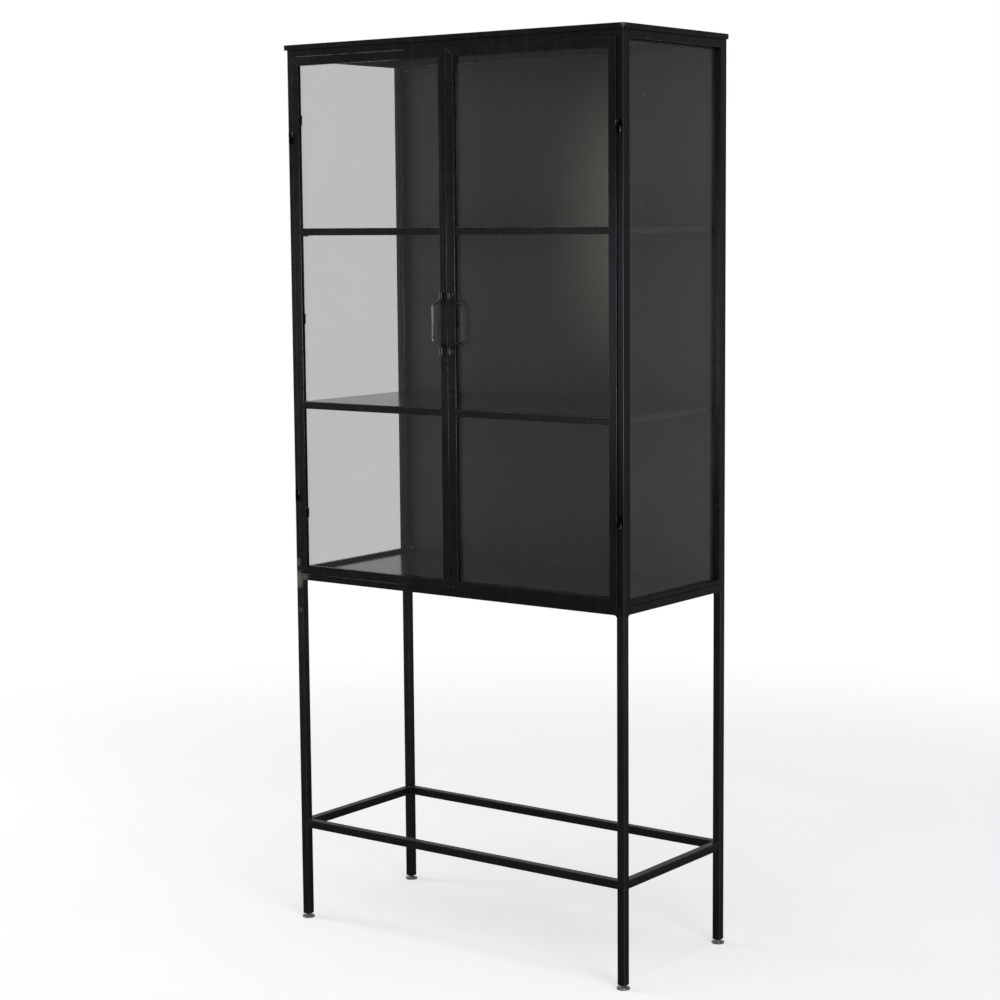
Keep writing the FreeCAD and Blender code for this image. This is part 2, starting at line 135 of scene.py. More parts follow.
class Tree:
    """Short calls for building one tree of nodes."""

    def __init__(self, owner, output, place):
        owner.use_nodes = True
        self.tree = owner.node_tree
        self.tree.nodes.clear()
        self.output = self.add(output)
        coordinates = self.add("TexCoord").outputs
        self.place = coordinates[place]
        self.normal = coordinates["Normal"]

    def add(self, kind, **settings):
        node = self.tree.nodes.new("ShaderNode" + kind)
        for key, value in settings.items():
            setattr(node, key, value)
        return node

    def link(self, source, target):
        self.tree.links.new(source, target)

    def feed(self, socket, value):
        """Link an output, or set a plain value."""
        if isinstance(value, bpy.types.NodeSocket):
            self.link(value, socket)
        else:
            socket.default_value = value

    def noise(self, scale, detail=4, roughness=0.55, stretch=None):
        place = self.place
        if stretch:
            mapping = self.add("Mapping")
            self.link(place, mapping.inputs["Vector"])
            mapping.inputs["Scale"].default_value = stretch
            place = mapping.outputs["Vector"]
        node = self.add("TexNoise")
        self.link(place, node.inputs["Vector"])
        node.inputs["Scale"].default_value = scale
        node.inputs["Detail"].default_value = detail
        node.inputs["Roughness"].default_value = roughness
        return node.outputs["Fac"]

    def fit(self, value, low, high, to_low=0.0, to_high=1.0, smooth=False):
        """Carry a value from one range to another, held at both ends."""
        node = self.add("MapRange")
        if smooth:
            node.interpolation_type = "SMOOTHSTEP"
        self.link(value, node.inputs["Value"])
        node.inputs["From Min"].default_value = low
        node.inputs["From Max"].default_value = high
        node.inputs["To Min"].default_value = to_low
        node.inputs["To Max"].default_value = to_high
        return node.outputs["Result"]

    def math(self, operation, a, b=0.0):
        node = self.add("Math", operation=operation)
        self.feed(node.inputs[0], a)
        self.feed(node.inputs[1], b)
        return node.outputs[0]

    def mix(self, share, a, b, blend="MIX"):
        node = self.add("Mix", data_type="RGBA", blend_type=blend)
        self.feed(node.inputs["Factor"], share)
        self.feed(node.inputs["A"], a)
        self.feed(node.inputs["B"], b)
        return node.outputs["Result"]

    def bump(self, height, strength, distance, normal=None):
        node = self.add("Bump")
        node.inputs["Strength"].default_value = strength
        node.inputs["Distance"].default_value = distance
        self.link(height, node.inputs["Height"])
        if normal:
            self.link(normal, node.inputs["Normal"])
        return node.outputs["Normal"]

    def part(self, vector, axis):
        """One of a vector's three numbers."""
        node = self.add("SeparateXYZ")
        self.link(vector, node.inputs[0])
        return node.outputs[axis]

    def coordinate(self, axis):
        return self.part(self.place, axis)

    def length(self, vector):
        node = self.add("VectorMath", operation="LENGTH")
        self.link(vector, node.inputs[0])
        return node.outputs["Value"]

    def band(self, value, low, high):
        """1 between two numbers, else 0."""
        node = self.add("Math", operation="COMPARE")
        self.link(value, node.inputs[0])
        node.inputs[1].default_value = (low + high) / 2
        node.inputs[2].default_value = (high - low) / 2
        return node.outputs[0]

    def near(self, point, radius):
        """1 at the point, falling to 0 at the radius."""
        node = self.add("VectorMath", operation="DISTANCE")
        self.link(self.place, node.inputs[0])
        node.inputs[1].default_value = point
        return self.fit(node.outputs["Value"], 0.0, radius, 1.0, 0.0)

    def ray(self, kind):
        """1 for light rays of that kind, such as Is Camera Ray."""
        return self.add("LightPath").outputs[kind]

    def shader(self, kind, **inputs):
        """A shader whose sockets are fed by name, with _ for a space."""
        node = self.add(kind)
        for name, value in inputs.items():
            self.feed(node.inputs[name.replace("_", " ")], value)
        return node.outputs[0]

    def mix_shaders(self, share, a, b):
        node = self.add("MixShader")
        for socket, source in zip(node.inputs, (share, a, b)):
            self.link(source, socket)
        return node.outputs[0]

    def surface(self, shader):
        self.link(shader, self.output.inputs["Surface"])


class MaterialTree(Tree):
    """A new material, patterned by the object's own coordinates."""

    def __init__(self, name):
        self.material = bpy.data.materials.new(name)
        super().__init__(self.material, "OutputMaterial", "Object")

    def principled(self, **inputs):
        self.surface(self.shader("BsdfPrincipled", **inputs))


# ---------------------------------------------------------------- marks of wear and welding

def corner_marks():
    """Where the frame was welded and ground to bright metal: each mark's place, radius and strength."""
    low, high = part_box("post_front_left")
    near_low, near_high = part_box("post_front_right")
    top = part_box("top_tray")[1].z
    return [((low.x + 6 * MM, low.y, low.z + 3 * MM), 24 * MM, 0.55),
            ((low.x + 5 * MM, low.y, low.z - 10 * MM), 17 * MM, 0.50),
            ((high.x + 4 * MM, low.y, low.z + 8 * MM), 22 * MM, 0.45),
            ((low.x + 6 * MM, low.y, low.z + 36 * MM), 16 * MM, 0.40),
            ((low.x + 8 * MM, low.y, low.z - 62 * MM), 10 * MM, 0.18),
            ((near_high.x + 3 * MM, near_low.y - 3 * MM, top - 1 * MM), 9 * MM, 0.50)]


def on_front(t, mask):
    """The mask, kept to the frame's front face."""
    return t.math("MULTIPLY", mask, t.band(t.coordinate("Y"), FRONT_FACE - 1 * MM, FRONT_FACE + 1 * MM))


def door_line(t, width, x_low, x_high):
    """1 on a line of that width along the doors' outer top and bottom edges."""
    z = t.coordinate("Z")
    low = t.band(z, DOOR_LOW.z - width, DOOR_LOW.z)
    high = t.band(z, DOOR_HIGH.z, DOOR_HIGH.z + width)
    return t.math("MULTIPLY", t.math("MAXIMUM", low, high), t.band(t.coordinate("X"), x_low, x_high))


def shadow_line(t):
    """Painted shade: a dark line along the doors' edges on the frame's front face, where the gap between
    door and frame lies in shadow.
    """
    width = 1.3 * MM
    half = -DOOR_LOW.x
    sides = t.band(t.math("ABSOLUTE", t.coordinate("X")), half, half + width)
    sides = t.math("MULTIPLY", sides, t.band(t.coordinate("Z"), DOOR_LOW.z, DOOR_HIGH.z))
    return on_front(t, t.math("MAXIMUM", sides, door_line(t, width, -half, half)))


def side_seam(t):
    """The dark joint between each side's bottom rail and its glazing bar."""
    low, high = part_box("bottom_rail_right")
    side = t.band(t.math("ABSOLUTE", t.coordinate("X")), high.x - 2 * MM, high.x + 1 * MM)
    seam = t.band(t.coordinate("Z"), high.z - 1.1 * MM, high.z + 0.6 * MM)
    return t.math("MULTIPLY", t.math("MULTIPLY", side, seam), t.band(t.coordinate("Y"), low.y, high.y))


def rub_line(t):
    """Where the left door scrapes its frame: thin broken lines of bright metal."""
    lines = door_line(t, 1.2 * MM, DOOR_LOW.x + 8 * MM, -100 * MM)
    broken = t.fit(t.noise(55, 4, stretch=(0.35, 1, 1)), 0.42, 0.60)
    return on_front(t, t.math("MULTIPLY", lines, broken))


def rounded_edge(t):
    """1 on the rounded edges of the bars: worn where the wax has been rubbed away, and given a painted
    highlight.
    """
    x, y, z = [t.math("ABSOLUTE", t.part(t.normal, axis)) for axis in "XYZ"]
    steepest = t.math("MAXIMUM", t.math("MAXIMUM", x, y), z)
    return t.fit(steepest, 0.80, 0.96, 1.0, 0.0, smooth=True)


def ground_marks(t):
    """Bright ragged patches where the frame's welds were ground back."""
    ragged = t.math("MULTIPLY", t.noise(130, 5, 0.75, stretch=(1, 1, 0.45)), 1.25)
    ground = t.math("MULTIPLY", rub_line(t), 0.8)
    for point, radius, strength in corner_marks():
        share = t.fit(t.math("ADD", t.near(point, radius), ragged), 0.92, 1.36)
        ground = t.math("MAXIMUM", ground, t.math("MULTIPLY", share, strength))
    return ground


def sheen_height_share(t):
    """1 at the height of the painted sheen, falling to 0 above and below it."""
    away = t.math("ABSOLUTE", t.math("SUBTRACT", t.coordinate("Z"), SHEEN_HEIGHT))
    return t.fit(away, 0.05, 0.36, 1.0, 0.0, smooth=True)


def painted_sheen(t, sheen_band):
    """Painted sheen on the case's front: a painted highlight at mid-height, brightest by the right door's
    hinges, on faces that look forward.
    """
    level = t.math("MULTIPLY", sheen_band, t.fit(t.coordinate("X"), 0.02, 0.36, 0.33, 1.0, smooth=True))
    return t.math("MULTIPLY", level, t.fit(t.part(t.normal, "Y"), -0.8, -0.3, 1.0, 0.0))


def grip_wear_and_highlight(t):
    """Patchy wear along a bail's grip, heavier on the left one, where a painted highlight is added to the
    wear.
    """
    middle = JOINTS["bail_left_pivot"]["pos_m"][2]
    held = t.band(t.coordinate("Z"), middle - GRIP_REACH, middle + GRIP_REACH)
    patchy = t.fit(t.noise(150, 4), 0.30, 0.52)
    gripped = t.fit(t.coordinate("X"), -1 * MM, 1 * MM, 0.80, 0.12)
    return t.math("MULTIPLY", t.math("MULTIPLY", held, patchy), gripped)


# ---------------------------------------------------------------- materials

def patinated_steel(name, tones, wear=0.20, welded_frame=False, gripped=False, mid_height_sheen=False):
    """Welded steel, blackened and waxed: mottled mill scale, rubbed edges with a painted highlight on them
    and ground marks; by its flags, also a painted sheen at mid-height and painted shade along the doors'
    edges.
    """
    t = MaterialTree(name)
    colour = t.mix(t.fit(t.noise(14, 5), 0.35, 0.70, smooth=True), *tones)
    # Painted sheen: lighter, bluer steel on front faces at mid-height, standing in for a lamp's reflection.
    if mid_height_sheen:
        sheen_band = sheen_height_share(t)
        uneven = t.fit(t.noise(40, 4, stretch=(1, 1, 0.2)), 0.3, 0.7, 0.7, 1.2)
        colour = t.mix(t.math("MULTIPLY", painted_sheen(t, sheen_band), uneven), colour, PAINTED_SHEEN_STEEL)
    streak = t.noise(60, 3, stretch=(1, 1, 0.04))
    colour = t.mix(t.math("MULTIPLY", t.fit(streak, 0.58, 0.72), 0.5), colour, BROWN_STREAK)
    speck = t.fit(t.noise(420, 3), 0.64, 0.74)
    colour = t.mix(t.math("MULTIPLY", speck, 0.3), colour, GREY_SPECK)
    rough = t.fit(t.noise(35, 5), 0.3, 0.7, 0.25, 0.38)
    rough = t.math("ADD", rough, t.fit(streak, 0.4, 0.7, -0.04, 0.06))
    if gripped:
        rubbed = grip_wear_and_highlight(t)
        rough = t.math("ADD", rough, t.fit(rubbed, 0.0, 0.1, 0.22, 0.0))
    else:
        patchy = t.fit(t.noise(14, 3, stretch=(1, 1, 0.3)), 0.35, 0.62, wear / 2.5, wear)
        rubbed = t.math("MULTIPLY", rounded_edge(t), patchy)
        # The edges' painted highlight is also brightest at the sheen's height.
        if mid_height_sheen:
            rubbed = t.math("MULTIPLY", rubbed, t.fit(sheen_band, 0.0, 1.0, 0.7, 3.0))
    # Edges and grips turn bright bluish steel: wear, with a painted highlight laid on it.
    colour = t.mix(rubbed, colour, WORN_AND_HIGHLIT_STEEL)
    metal = t.math("MULTIPLY", rubbed, 0.6)
    if welded_frame:
        ground = ground_marks(t)
        # Painted shade along the doors' edges, joined with the real dark seams at the sides and kept off
        # the ground marks.
        shade_and_joint = t.math("MAXIMUM", shadow_line(t), side_seam(t))
        shade_and_joint = t.math("MULTIPLY", shade_and_joint, t.fit(ground, 0.0, 0.1, 1.0, 0.0))
        colour = t.mix(shade_and_joint, colour, SHADE_AND_JOINT_BLACK)
        rough = t.math("MAXIMUM", rough, t.math("MULTIPLY", shade_and_joint, 0.9))
        colour = t.mix(ground, colour, BARE_STEEL)
        metal = t.math("MAXIMUM", metal, t.math("MULTIPLY", ground, 0.6))
    normal = t.bump(t.noise(900, 2), 0.10, 0.2 * MM)
    normal = t.bump(t.noise(55, 4), 0.08, 0.6 * MM, normal)
    t.principled(Base_Color=colour, Roughness=rough, Metallic=metal, IOR=1.40,
                 Specular_IOR_Level=0.42 if mid_height_sheen else 0.5, Normal=normal)
    return t.material


def shadowed_steel(name):
    """Painted shade: the doors' outer side faces and the knuckles, near-black and dull as if always in
    shadow.
    """
    t = MaterialTree(name)
    colour = t.mix(t.fit(t.noise(120, 4), 0.4, 0.7), *PAINTED_SHADE_BLACK)
    rough = t.fit(t.noise(60, 3), 0.3, 0.7, 0.75, 0.9)
    t.principled(Base_Color=colour, Roughness=rough, Specular_IOR_Level=0.05)
    return t.material


def weld_steel(name, tones, metallic):
    """A weld bead: heat-tinted ripples, brighter where it was ground."""
    t = MaterialTree(name)
    colour = t.mix(t.fit(t.noise(240, 4), 0.4, 0.66), *tones)
    rough = t.fit(t.noise(300, 3), 0.3, 0.7, 0.28, 0.5)
    normal = t.bump(t.noise(800, 3), 0.25, 0.3 * MM)
    t.principled(Base_Color=colour, Roughness=rough, Metallic=metallic, Normal=normal)
    return t.material


def lacquered_sheet(name, roughness, tones):
    """Folded sheet with a smooth dark lacquer and a few specks of dust in it."""
    t = MaterialTree(name)
    colour = t.mix(t.fit(t.noise(2.5, 1), 0.35, 0.65, smooth=True), *tones)
    colour = t.mix(t.fit(t.noise(160, 1), 0.80, 0.82), colour, DUST_NIB)
    rough = t.fit(t.noise(3, 1), 0.3, 0.7, roughness * 0.92, roughness * 1.08)
    t.principled(Base_Color=colour, Roughness=rough, IOR=1.5)
    return t.material


def zinc_plate(name):
    """Dull zinc plating, slightly rubbed."""
    t = MaterialTree(name)
    colour = t.mix(t.fit(t.noise(160, 4), 0.4, 0.7), *ZINC)
    rough = t.fit(t.noise(120, 4), 0.3, 0.7, 0.28, 0.5)
    normal = t.bump(t.noise(500, 3), 0.12, 0.2 * MM)
    t.principled(Base_Color=colour, Roughness=rough, Metallic=0.9, Normal=normal)
    return t.material


def pane_glass(name, tones):
    """Clear float glass. Light from the lamps goes straight through it."""
    t = MaterialTree(name)
    tint = t.mix(t.fit(t.noise(3, 2), 0.35, 0.65), *tones)
    glass = t.shader("BsdfPrincipled", Base_Color=tint, Roughness=0.0, Transmission_Weight=1.0, IOR=1.5)
    clear = t.shader("BsdfTransparent", Color=GLASS_SHADOW)
    t.surface(t.mix_shaders(t.ray("Is Shadow Ray"), glass, clear))
    return t.material


def moulded_plastic(name, tones):
    """Matt moulded nylon with a fine spark-eroded grain."""
    t = MaterialTree(name)
    shade = t.mix(t.fit(t.noise(90, 3), 0.4, 0.7), *tones)
    rough = t.fit(t.noise(60, 3), 0.3, 0.7, 0.45, 0.6)
    normal = t.bump(t.noise(1400, 2), 0.2, 0.1 * MM)
    t.principled(Base_Color=shade, Roughness=rough, Normal=normal)
    return t.material


MATERIALS = {
    "stand": patinated_steel("blackened_stand_steel", STAND_BLACK, welded_frame=True),
    "frame": patinated_steel("blackened_frame_steel", WAXED_BLACK, welded_frame=True, mid_height_sheen=True),
    "door": patinated_steel("blackened_door_steel", WAXED_BLACK, wear=0.35, mid_height_sheen=True),
    "fitting": patinated_steel("blackened_fitting_steel", STAND_BLACK, wear=0.45),
    "bail": patinated_steel("hand_worn_bail_steel", STAND_BLACK, gripped=True),
    "edge": shadowed_steel("sooty_door_edge_steel"),
    "weld": weld_steel("weld_bead", WELD_SCALE, 0.1),
    "seam": weld_steel("ground_mitre_seam", WELD_SCALE, 0.1),
    "bright_weld": weld_steel("ground_weld_bead", WELD_GROUND, 0.4),
    "shelf": lacquered_sheet("lacquered_shelf_sheet", 0.17, SHELF_LACQUER),
    "back": lacquered_sheet("lacquered_back_sheet", 0.30, BACK_LACQUER),
    "board": lacquered_sheet("painted_top_board", 0.55, BOARD_PAINT),
    "zinc": zinc_plate("zinc_plated_steel"),
    "glass": pane_glass("clear_pane_glass", PANE_TINT),
    "glass_edge": pane_glass("glass_cut_edge", CUT_EDGE_TINT),
    "catch": moulded_plastic("black_catch_plastic", CATCH_BLACK),
    "plug": moulded_plastic("black_plug_nylon", NYLON_BLACK),
}


def material_for(node):
    """The material of a CAD node, by its name."""
    # Knuckles take the painted shade material.
    if "knuckles" in node:
        return "edge"
    if "glass_clips" in node or "lugs" in node or node.startswith("bail"):
        return "fitting"
    if "glass" in node:
        return "glass"
    if node.startswith("shelf_supports"):
        return "fitting"
    if node.startswith("shelf") or node == "floor_panel":
        return "shelf"
    if node == "back_panel":
        return "back"
    if node.startswith("glide") or node == "hinge_pins" or node.endswith("strike"):
        return "zinc"
    if node.startswith(("leg_front", "leg_rear", "stretcher")):
        return "stand"
    named = {"magnetic_catch": "catch", "leg_plugs": "plug", "top_board": "board"}
    if node in named:
        return named[node]
    return "door" if node.startswith("door") else "frame"


def dress_cut_edges(name, mesh):
    """Give a pane's narrow sides its second material."""
    low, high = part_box(name)
    thin = min(range(3), key=lambda axis: high[axis] - low[axis])
    for face in mesh.polygons:
        face.material_index = 0 if abs(face.normal[thin]) > 0.9 else 1


def dress_outer_side(name, mesh):
    """Give its second material, the painted shade, to the side of a stile that is the door's outer edge."""
    inner, outer = sorted(abs(corner.x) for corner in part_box(name))
    side = outer if "hinge" in name else inner
    for face in mesh.polygons:
        if abs(abs(face.center.x) - side) < 0.1 * MM:
            face.material_index = 1


def dress_nodes():
    """Give every CAD node its material, each pane a second one for its cut edges, and each stile the
    painted shade as a second one for its outer side.
    """
    for name, node in frame["nodes"].items():
        kind = material_for(name)
        mesh = node.data
        mesh.materials.clear()
        mesh.materials.append(MATERIALS[kind])
        if kind == "glass":
            mesh.materials.append(MATERIALS["glass_edge"])
            dress_cut_edges(name, mesh)
        if name.endswith("_stile"):
            mesh.materials.append(MATERIALS["edge"])
            dress_outer_side(name, mesh)


# ---------------------------------------------------------------- shapes

def sweep(shape, path, radii, sides=12):
    """A closed tube along a list of points, one radius a point."""
    rings = []
    across = None
    for step, point in enumerate(path):
        ahead = path[min(step + 1, len(path) - 1)] - path[max(step - 1, 0)]
        ahead.normalize()
        if across is None:
            across = ahead.orthogonal().normalized()
        across = (across - ahead * across.dot(ahead)).normalized()
        upward = ahead.cross(across)
        ring = []
        for turn in range(sides):
            angle = math.tau * turn / sides
            offset = across * math.cos(angle) + upward * math.sin(angle)
            ring.append(shape.verts.new(point + offset * radii[step]))
        rings.append(ring)
    skin(shape, rings)


def skin(shape, rings):
    """Faces from each ring of points to the next, and a cap at both ends."""
    for first, second in zip(rings, rings[1:]):
        for index in range(len(first)):
            after = (index + 1) % len(first)
            shape.faces.new((first[index], first[after], second[after], second[index]))
    shape.faces.new(rings[0])
    shape.faces.new(rings[-1])


def bead(shape, start, end, radius, seed):
    """One run of weld: overlapping ripples that thin out at both ends."""
    chance = random.Random(seed)
    start, end = Vector(start), Vector(end)
    length = (end - start).length
    count = max(8, round(length / (0.35 * MM)))
    phase = chance.random()
    drift = chance.uniform(-0.12, 0.12)
    path, radii = [], []
    for step in range(count + 1):
        share = step / count
        ripple = 0.90 + 0.10 * abs(math.sin(math.pi * (share * length / (1.5 * MM) + phase)))
        taper = min(1.0, 3.2 * math.sqrt(max(share * (1 - share), 0.0)) + 0.15)
        swell = 1 + drift * math.sin(math.tau * share * 1.3 + phase)
        path.append(start.lerp(end, share))
        radii.append(radius * ripple * taper * swell)
    sweep(shape, path, radii, 10)


def fillet(shape, start, end, outward, downward, size, seed):
    """A weld drawn hollow into a corner, rippled along its run and thinner at both ends."""
    start, end = Vector(start), Vector(end)
    length = (end - start).length
    count = max(8, round(length / (0.5 * MM)))
    phase = random.Random(seed).random()
    rings = []
    for step in range(count + 1):
        share = step / count
        ripple = 0.95 + 0.05 * math.sin(math.tau * (share * length / (2.2 * MM) + phase))
        throat = size * ripple * min(1.0, 0.85 + 1.2 * share * (1 - share))
        corner = start.lerp(end, share)
        ring = [corner - (outward + downward) * 0.5 * MM]
        for turn in range(FILLET_STEPS + 1):
            angle = math.pi / 2 * turn / FILLET_STEPS
            ring.append(corner + outward * (throat * (1 - math.sin(angle)) - 0.05 * MM)
                        + downward * (throat * (1 - math.cos(angle)) - 0.05 * MM))
        rings.append([shape.verts.new(point) for point in ring])
    skin(shape, rings)


def rounded_route(corners, bend, steps=8):
    """Straight runs joined by arcs that are tangent to both."""
    route = [corners[0]]
    for before, corner, after in zip(corners, corners[1:], corners[2:]):
        back, ahead = (before - corner).normalized(), (after - corner).normalized()
        half = back.angle(ahead) / 2
        cut = bend / math.tan(half)
        centre = corner + (back + ahead).normalized() * (bend / math.sin(half))
        first, last = corner + back * cut, corner + ahead * cut
        spoke, other = first - centre, last - centre
        turn = spoke.angle(other)
        axis = spoke.cross(other).normalized()
        for step in range(steps + 1):
            route.append(centre + Matrix.Rotation(turn * step / steps, 3, axis) @ spoke)
    route.append(corners[-1])
    return route


# ---------------------------------------------------------------- pieces

def add_piece(name, mesh_maker, body, material, replaces=(), smooth=True):
    """Make one named piece from a bmesh and let it ride on its body."""
    shape = bmesh.new()
    mesh_maker(shape)
    bmesh.ops.recalc_face_normals(shape, faces=shape.faces)
    mesh = bpy.data.meshes.new(name)
    shape.to_mesh(mesh)
    shape.free()
    if smooth:
        mesh.shade_smooth()
    mesh.materials.append(MATERIALS[material])
    piece = bpy.data.objects.new(name, mesh)
    bpy.context.scene.collection.objects.link(piece)
    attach(piece, body)
    if replaces:
        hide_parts(*replaces)


def add_welds(name, body, material, beads, fillets=()):
    """Make one piece of weld: beads are start, end, radius and seed, and fillets as fillet() takes them."""
    def maker(shape):
        for run in beads:
            bead(shape, *run)
        for run in fillets:
            fillet(shape, *run)
    add_piece(name, maker, body, material)


def make_bails():
    """Bent round bar, a half hexagon that pivots in its two lugs."""
    rise = Vector((0, 0, 1))
    for side, sign in SIDES.items():
        node = f"bail_{side}"
        low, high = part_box(node)
        pivot = Vector(JOINTS[f"bail_{side}_pivot"]["pos_m"])
        far_x = low.x + BAIL_WIRE if sign < 0 else high.x - BAIL_WIRE
        grip = Vector((far_x, high.y - BAIL_WIRE, pivot.z))
        corners = [pivot + rise * BAIL_TIP, pivot + rise * BAIL_SHOULDER, grip + rise * BAIL_GRIP,
                   grip - rise * BAIL_GRIP, pivot - rise * BAIL_SHOULDER, pivot - rise * BAIL_TIP]
        route = rounded_route(corners, BAIL_BEND)
        add_piece(f"bail_{side}_bar", lambda shape: sweep(shape, route, [BAIL_WIRE] * len(route), 20),
                  node, "bail", (node,))


def make_frame_welds():
    """Beads where the stretchers meet the legs, and hollow fillets where the legs meet the case."""
    gap, rim = 1.5 * MM, 0.9 * MM
    down = Vector((0, 0, -1))
    beads, fillets = [], []
    for side, sign in SIDES.items():
        for end, facing in ENDS.items():
            low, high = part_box(f"leg_{end}_{side}")
            x = high.x if sign < 0 else low.x
            y = high.y if facing < 0 else low.y
            bar_low, bar_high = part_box(f"stretcher_{end}")
            for z in (bar_low.z, bar_high.z):
                beads.append(((x, low.y + gap, z), (x, high.y - gap, z), 1.5 * MM))
                beads.append(((low.x + gap, y, z), (high.x - gap, y, z), 1.5 * MM))
            beads.append(((x, y, bar_low.z), (x, y, bar_high.z), 1.7 * MM))
            z = high.z
            fillets.append(((x, low.y + rim, z), (x, high.y - rim, z), Vector((-sign, 0, 0))))
            fillets.append(((low.x + rim, y, z), (high.x - rim, y, z), Vector((0, -facing, 0))))
    beads = [(*run, seed) for seed, run in enumerate(beads)]
    fillets = [(*run, down, FILLET_SIZE, seed) for seed, run in enumerate(fillets)]
    add_welds("frame_weld_beads", "case", "weld", beads, fillets)


def hinge_places():
    """Every hinge's middle, at the foot of its door knuckle, with its side's sign."""
    places = []
    for side, sign in SIDES.items():
        x, y, _ = JOINTS[f"door_{side}_hinge"]["pos_m"]
        low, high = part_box(f"door_{side}_hinge_knuckles")
        for z in (low.z, high.z - KNUCKLE + KNUCKLE_GAP / 2):
            places.append((x, y, z, sign))
    return places


def lug_beads(side):
    """A bead down both sides of each handle lug, on the meeting stile."""
    low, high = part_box(f"door_{side}_handle_lugs")
    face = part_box(f"door_{side}_meeting_stile")[0].y
    middle = (low.x + high.x) / 2
    lug, edge, inset = 11 * MM, 2.2 * MM, 0.6 * MM
    beads = []
    for start, end in ((low.z, low.z + lug), (high.z - lug, high.z)):
        for x in (middle - edge, middle + edge):
            beads.append(((x, face, start + inset), (x, face, end - inset), 0.7 * MM, 80))
    return beads


def make_hinge_welds():
    """Short beads that hold the knuckles, and a sleeve of weld round one end of each hinge."""
    middle = (DOOR_LOW.z + DOOR_HIGH.z) / 2
    on_posts = []
    on_doors = {sign: [] for sign in SIDES.values()}
    for index, (x, y, z, sign) in enumerate(hinge_places()):
        behind = (x + sign * 2.6 * MM, y + 3.4 * MM)
        on_posts.append(((*behind, z - 11 * MM), (*behind, z - 1.2 * MM), 0.9 * MM, 40 + index))
        beside = (x - sign * 4.3 * MM, y + 0.3 * MM)
        on_doors[sign].append(((*beside, z + 1.4 * MM), (*beside, z + 11.4 * MM), 1.0 * MM, 60 + index))
        if z < middle:
            on_posts.append(((x, y, z - 11.4 * MM), (x, y, z - 7.5 * MM), SLEEVE_RADIUS, 45 + index))
        else:
            on_doors[sign].append(((x, y, z + 6.5 * MM), (x, y, z + 11.4 * MM), SLEEVE_RADIUS, 63 + index))
    add_welds("hinge_post_welds", "case", "bright_weld", on_posts)
    for side, sign in SIDES.items():
        beads = on_doors[sign] + lug_beads(side)
        add_welds(f"door_{side}_fitting_welds", f"door_{side}", "bright_weld", beads)


def make_mitre_seams():
    """The welded mitres of the doors, ground flush but still visible."""
    inset, depth = 0.8 * MM, 0.16 * MM
    for side in SIDES:
        low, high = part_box(f"door_{side}_rails")
        stile_low, stile_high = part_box(f"door_{side}_hinge_stile")
        bar = stile_high.x - stile_low.x
        corners = [(x, z) for x in ((low.x, 1), (high.x, -1)) for z in ((low.z, 1), (high.z, -1))]
        beads = []
        for index, ((x, across), (z, upward)) in enumerate(corners):
            outer = (x + across * inset, low.y + depth, z + upward * inset)
            inner = (x + across * bar, low.y + depth, z + upward * bar)
            beads.append((outer, inner, 0.38 * MM, 200 + index))
        add_welds(f"door_{side}_mitre_seams", f"door_{side}", "seam", beads)


def make_tray_seams():
    """The folded tray's corners, welded shut and ground."""
    low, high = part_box("top_tray")
    inset = 0.55 * MM
    corners = [(x, y) for x in (low.x, high.x) for y in (low.y, high.y)]
    beads = []
    for index, (x, y) in enumerate(corners):
        place = (x - math.copysign(inset, x), y - math.copysign(inset, y))
        beads.append(((*place, low.z + 0.3 * MM), (*place, high.z - 0.7 * MM), 0.7 * MM, 300 + index))
    add_welds("top_tray_seams", "case", "bright_weld", beads)


def make_tacks():
    """Bright tack welds where the back sheet meets the frame inside the case."""
    low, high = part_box("back_panel")
    inset, height, half = 3 * MM, 9 * MM, 3 * MM
    spots = [(x, z) for x in (low.x + inset, high.x - inset) for z in (low.z + height, high.z - height)]
    beads = []
    for index, (x, z) in enumerate(spots):
        beads.append(((x - half, low.y, z), (x + half, low.y, z + 1 * MM), 2.6 * MM, 100 + index))
    add_welds("back_panel_tacks", "case", "bright_weld", beads)


def make_pole_plates():
    """The magnet's steel pole plates, two for each door, in the catch's front face."""
    low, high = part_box("magnetic_catch")
    plate = Matrix.Diagonal((12 * MM, 0.4 * MM, 1.0 * MM, 1))
    apart = 1.6 * MM

    def maker(shape):
        for sign in SIDES.values():
            for rise in (-apart, apart):
                centre = (sign * 10 * MM, low.y - 0.1 * MM, (low.z + high.z) / 2 + rise)
                made = bmesh.ops.create_cube(shape, size=1, matrix=Matrix.Translation(centre) @ plate)
                edges = list(dict.fromkeys(edge for vert in made["verts"] for edge in vert.link_edges))
                bmesh.ops.bevel(shape, geom=edges, offset=0.1 * MM, segments=2, affect="EDGES")
    add_piece("catch_pole_plates", maker, "case", "zinc", smooth=False)


# ---------------------------------------------------------------- studio

def make_floor():
    """A wide pale floor that fades out before its edge, and gives little light back upwards."""
    t = MaterialTree("pale_floor")
    shade = t.mix(t.fit(t.noise(3, 3), 0.3, 0.7), *FLOOR_TONES)
    pale = t.shader("BsdfPrincipled", Base_Color=shade, Roughness=0.8, Specular_IOR_Level=0.1,
                    Emission_Color=WHITE, Emission_Strength=FLOOR_GLOW)
    grey = t.shader("BsdfDiffuse", Color=FLOOR_BOUNCE)
    looked_at = t.mix_shaders(t.ray("Is Camera Ray"), grey, pale)
    faded = t.fit(t.length(t.place), *FLOOR_FADE, smooth=True)
    t.surface(t.mix_shaders(faded, looked_at, t.shader("BsdfTransparent")))
    shape = bmesh.new()
    bmesh.ops.create_circle(shape, cap_ends=True, segments=96, radius=FLOOR_RADIUS)
    mesh = bpy.data.meshes.new("studio_floor")
    shape.to_mesh(mesh)
    shape.free()
    mesh.materials.append(t.material)
    floor = bpy.data.objects.new("studio_floor", mesh)
    bpy.context.scene.collection.objects.link(floor)


